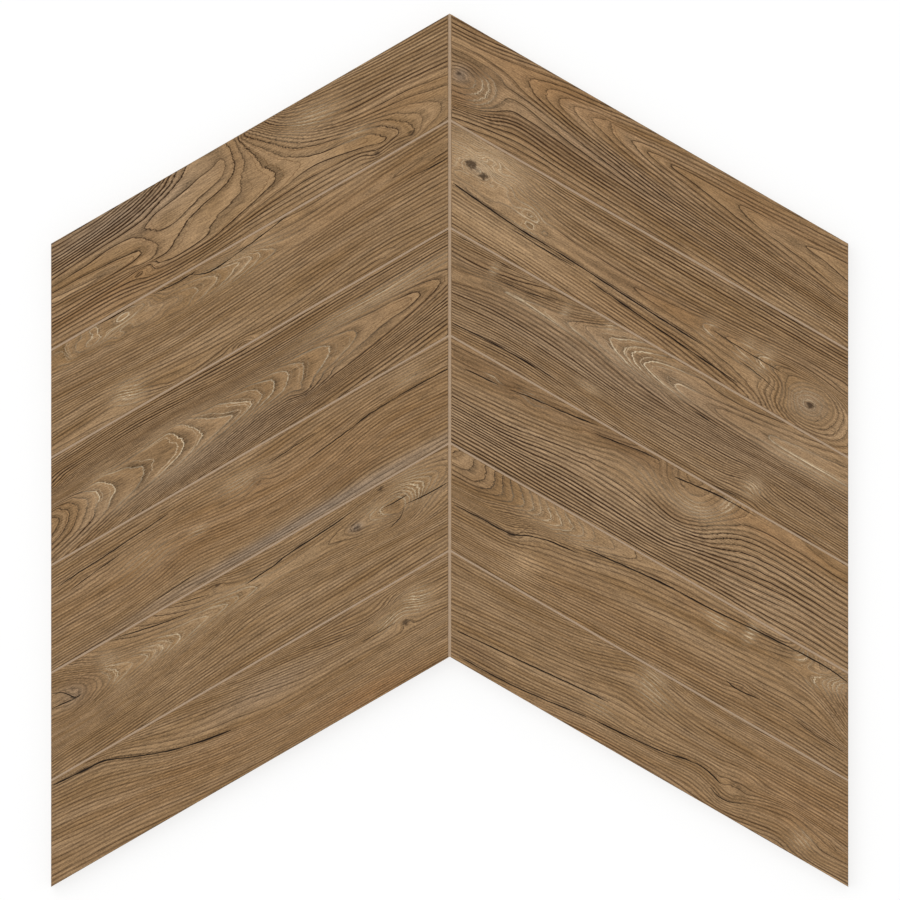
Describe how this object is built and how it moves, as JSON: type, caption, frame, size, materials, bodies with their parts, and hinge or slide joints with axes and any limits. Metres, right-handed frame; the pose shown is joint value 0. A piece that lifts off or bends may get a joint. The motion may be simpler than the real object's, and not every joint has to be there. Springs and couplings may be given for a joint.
{
  "type": "chevron sheet of wood-look porcelain tile",
  "caption": "Chevron-shaped sheet of slanted wood-look porcelain planks in two columns, joined along a spine by a web of joint filler, for covering floors and walls.",
  "frame": {"origin": "middle of the back, where the sheet rests", "axes": "+X across the sheet to its right side, +Y along the spine to the point of the chevron, +Z out of the printed face"},
  "size_m": [0.3764, 0.4124, 0.0095],
  "materials": {
    "porcelain": "matte",
    "filler": "matte"
  },
  "bodies": {
    "root": {"left_plank_1": "porcelain", "left_plank_2": "porcelain", "left_plank_3": "porcelain", "left_plank_4": "porcelain", "left_plank_5": "porcelain", "left_plank_6": "porcelain", "right_plank_1": "porcelain", "right_plank_2": "porcelain", "right_plank_3": "porcelain", "right_plank_4": "porcelain", "right_plank_5": "porcelain", "right_plank_6": "porcelain", "joint_filler": "filler"}
  },
  "joints": []
}
